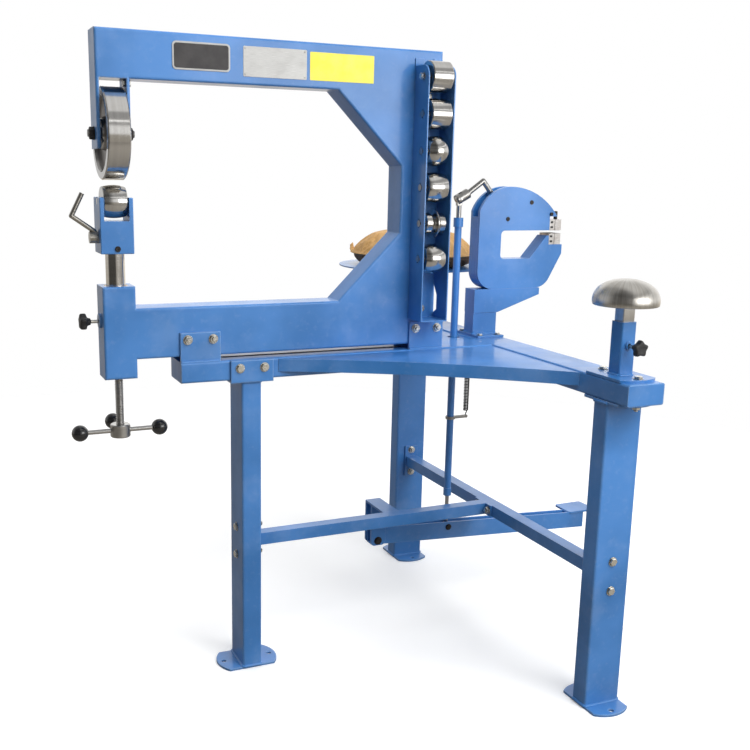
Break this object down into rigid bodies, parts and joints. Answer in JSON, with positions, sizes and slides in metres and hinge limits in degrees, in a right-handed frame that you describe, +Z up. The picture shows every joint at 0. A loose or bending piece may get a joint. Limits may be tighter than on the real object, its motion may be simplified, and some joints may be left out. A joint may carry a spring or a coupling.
{
  "type": "english wheel",
  "caption": "Free-standing english wheel on a three-legged stand, with an anvil rack, a pedal-worked shrinker, a dome stake and a leather sandbag.",
  "frame": {"origin": "The centre of the front foot's underside, on the floor, midway between its two bolt holes.", "axes": "+X runs along the C-frame from the wheels towards the column and the cross beam, +Y runs along the cross beam towards the sandbag and the shrinker's side, and +Z is up."},
  "size_m": [1.6035, 1.372, 1.558],
  "materials": {
    "blue_paint": "semi-gloss",
    "polished_steel": "polished",
    "plain_steel": "satin",
    "jaw_steel": "ground",
    "zinc_bolts": "zinc plated",
    "black_steel": "black oxide",
    "black_plastic": "matte",
    "gloss_black": "glossy",
    "bronze": "turned",
    "leather": "tan, natural"
  },
  "bodies": {
    "stand": {"front_beam": "blue_paint", "cross_beam": "blue_paint", "near_corner_tray": "blue_paint", "far_corner_tray": "blue_paint", "front_leg": "blue_paint", "near_leg": "blue_paint", "far_leg": "blue_paint", "front_brace": "blue_paint", "cross_brace": "blue_paint", "stand_bolts": "zinc_bolts", "beam_bolts": "zinc_bolts", "small_bolts": "zinc_bolts", "c_frame": "blue_paint", "wheel_axle": "plain_steel", "axle_nuts": "black_steel", "shaft_bushings": "bronze", "screw_nut": "bronze", "anvil_rack": "blue_paint", "rack_axles": "plain_steel", "shrinker_stand": "blue_paint", "shrinker_near_plate": "blue_paint", "shrinker_far_plate": "blue_paint", "shrinker_spine": "blue_paint", "shrinker_pins": "black_steel", "lower_jaw": "jaw_steel", "pedal_bracket": "blue_paint", "pedal_pivot": "black_steel", "tool_posts": "blue_paint"},
    "wheel": {"upper_wheel": "polished_steel", "wheel_bearings": "plain_steel"},
    "carriage": {"lift_shaft": "polished_steel"},
    "screw": {"hand_wheel": "polished_steel", "hand_wheel_balls": "gloss_black", "lift_screw": "plain_steel"},
    "yoke": {"anvil_yoke": "blue_paint", "yoke_set_screw": "black_steel", "anvil_axle": "plain_steel"},
    "lever": {"release_lever": "plain_steel"},
    "anvil": {"lower_anvil": "polished_steel"},
    "lock": {"lock_knob": "black_plastic"},
    "pedal": {"pedal_lever": "blue_paint", "rod_bolt": "zinc_bolts"},
    "pull_rod": {"pull_rod_tube": "blue_paint", "pull_rod_ends": "plain_steel", "spring_clamp": "plain_steel", "return_spring": "black_steel"},
    "handle": {"shrinker_handle": "plain_steel", "clevis_pin": "plain_steel"},
    "jaw": {"upper_jaw": "jaw_steel"},
    "dome": {"dome_stake": "polished_steel"},
    "dome_clamp": {"dome_knob": "black_plastic"},
    "bag": {"bag_tray": "blue_paint", "sandbag": "leather"},
    "bag_clamp": {"bag_knob": "black_plastic"},
    "spare_1": {"rack_anvil_1": "polished_steel"},
    "spare_2": {"rack_anvil_2": "polished_steel"},
    "spare_3": {"rack_anvil_3": "polished_steel"},
    "spare_4": {"rack_anvil_4": "polished_steel"},
    "spare_5": {"rack_anvil_5": "polished_steel"},
    "spare_6": {"rack_anvil_6": "polished_steel"}
  },
  "joints": [
    {"name": "wheel_spin", "type": "hinge", "parent": "stand", "child": "wheel", "pos_m": [-0.312, 0, 1.337], "axis": [1, 0, 0], "continuous": true},
    {"name": "carriage_lift", "type": "slide", "parent": "stand", "child": "carriage", "axis": [0, 0, 1], "range_m": [-0.06, 0.0095]},
    {"name": "hand_wheel_turn", "type": "hinge", "parent": "carriage", "child": "screw", "pos_m": [-0.312, 0, 0.653], "axis": [0, 0, 1], "range_deg": [-5405, 860]},
    {"name": "yoke_drop", "type": "slide", "parent": "carriage", "child": "yoke", "axis": [0, 0, -1], "range_m": [0, 0.004]},
    {"name": "release_turn", "type": "hinge", "parent": "yoke", "child": "lever", "pos_m": [-0.312, 0, 1.108], "axis": [1, 0, 0], "range_deg": [0, 120]},
    {"name": "anvil_spin", "type": "hinge", "parent": "yoke", "child": "anvil", "pos_m": [-0.312, 0, 1.188], "axis": [1, 0, 0], "continuous": true},
    {"name": "lock_turn", "type": "hinge", "parent": "stand", "child": "lock", "pos_m": [-0.372, 0, 0.917], "axis": [1, 0, 0], "range_deg": [0, 360]},
    {"name": "spare_1_spin", "type": "hinge", "parent": "stand", "child": "spare_1", "pos_m": [0.464, -0.085, 1.492], "axis": [1, 0, 0], "continuous": true},
    {"name": "spare_2_spin", "type": "hinge", "parent": "stand", "child": "spare_2", "pos_m": [0.464, -0.085, 1.404], "axis": [1, 0, 0], "continuous": true},
    {"name": "spare_3_spin", "type": "hinge", "parent": "stand", "child": "spare_3", "pos_m": [0.464, -0.085, 1.316], "axis": [1, 0, 0], "continuous": true},
    {"name": "spare_4_spin", "type": "hinge", "parent": "stand", "child": "spare_4", "pos_m": [0.464, -0.085, 1.228], "axis": [1, 0, 0], "continuous": true},
    {"name": "spare_5_spin", "type": "hinge", "parent": "stand", "child": "spare_5", "pos_m": [0.464, -0.085, 1.14], "axis": [1, 0, 0], "continuous": true},
    {"name": "spare_6_spin", "type": "hinge", "parent": "stand", "child": "spare_6", "pos_m": [0.464, -0.085, 1.052], "axis": [1, 0, 0], "continuous": true},
    {"name": "pedal_press", "type": "hinge", "parent": "stand", "child": "pedal", "pos_m": [0.422, 0.112, 0.24], "axis": [0, 1, 0], "range_deg": [0, 10], "stiffness_Nm_per_rad": 60, "springref_deg": -28.65},
    {"name": "pull_rod_slide", "type": "slide", "parent": "stand", "child": "pull_rod", "axis": [0, 0, 1], "range_m": [-0.04043, 0], "deforming": ["return_spring"]},
    {"name": "handle_swing", "type": "hinge", "parent": "stand", "child": "handle", "pos_m": [0.875, 0.112, 1.188], "axis": [0, 1, 0], "range_deg": [-10.51, 0]},
    {"name": "jaw_slide", "type": "slide", "parent": "stand", "child": "jaw", "axis": [0, 0, 1], "range_m": [-0.00801, 0]},
    {"name": "dome_height", "type": "slide", "parent": "stand", "child": "dome", "axis": [0, 0, 1], "range_m": [-0.02, 0.035]},
    {"name": "dome_clamp_turn", "type": "hinge", "parent": "stand", "child": "dome_clamp", "pos_m": [0.73, -0.558, 0.89], "axis": [0, 1, 0], "range_deg": [0, 360]},
    {"name": "bag_height", "type": "slide", "parent": "stand", "child": "bag", "axis": [0, 0, 1], "range_m": [-0.02, 0.035]},
    {"name": "bag_clamp_turn", "type": "hinge", "parent": "stand", "child": "bag_clamp", "pos_m": [0.73, 0.478, 0.89], "axis": [0, 1, 0], "range_deg": [0, 360]}
  ],
  "couplings": [
    {"joint": "hand_wheel_turn", "follows": "carriage_lift", "rad_per_m": 1570.8},
    {"joint": "release_turn", "follows": "yoke_drop", "rad_per_m": 520},
    {"joint": "pull_rod_slide", "follows": "pedal_press", "m_per_rad": -0.23161},
    {"joint": "handle_swing", "follows": "pedal_press", "ratio": -1.05},
    {"joint": "jaw_slide", "follows": "pedal_press", "m_per_rad": -0.045837}
  ]
}
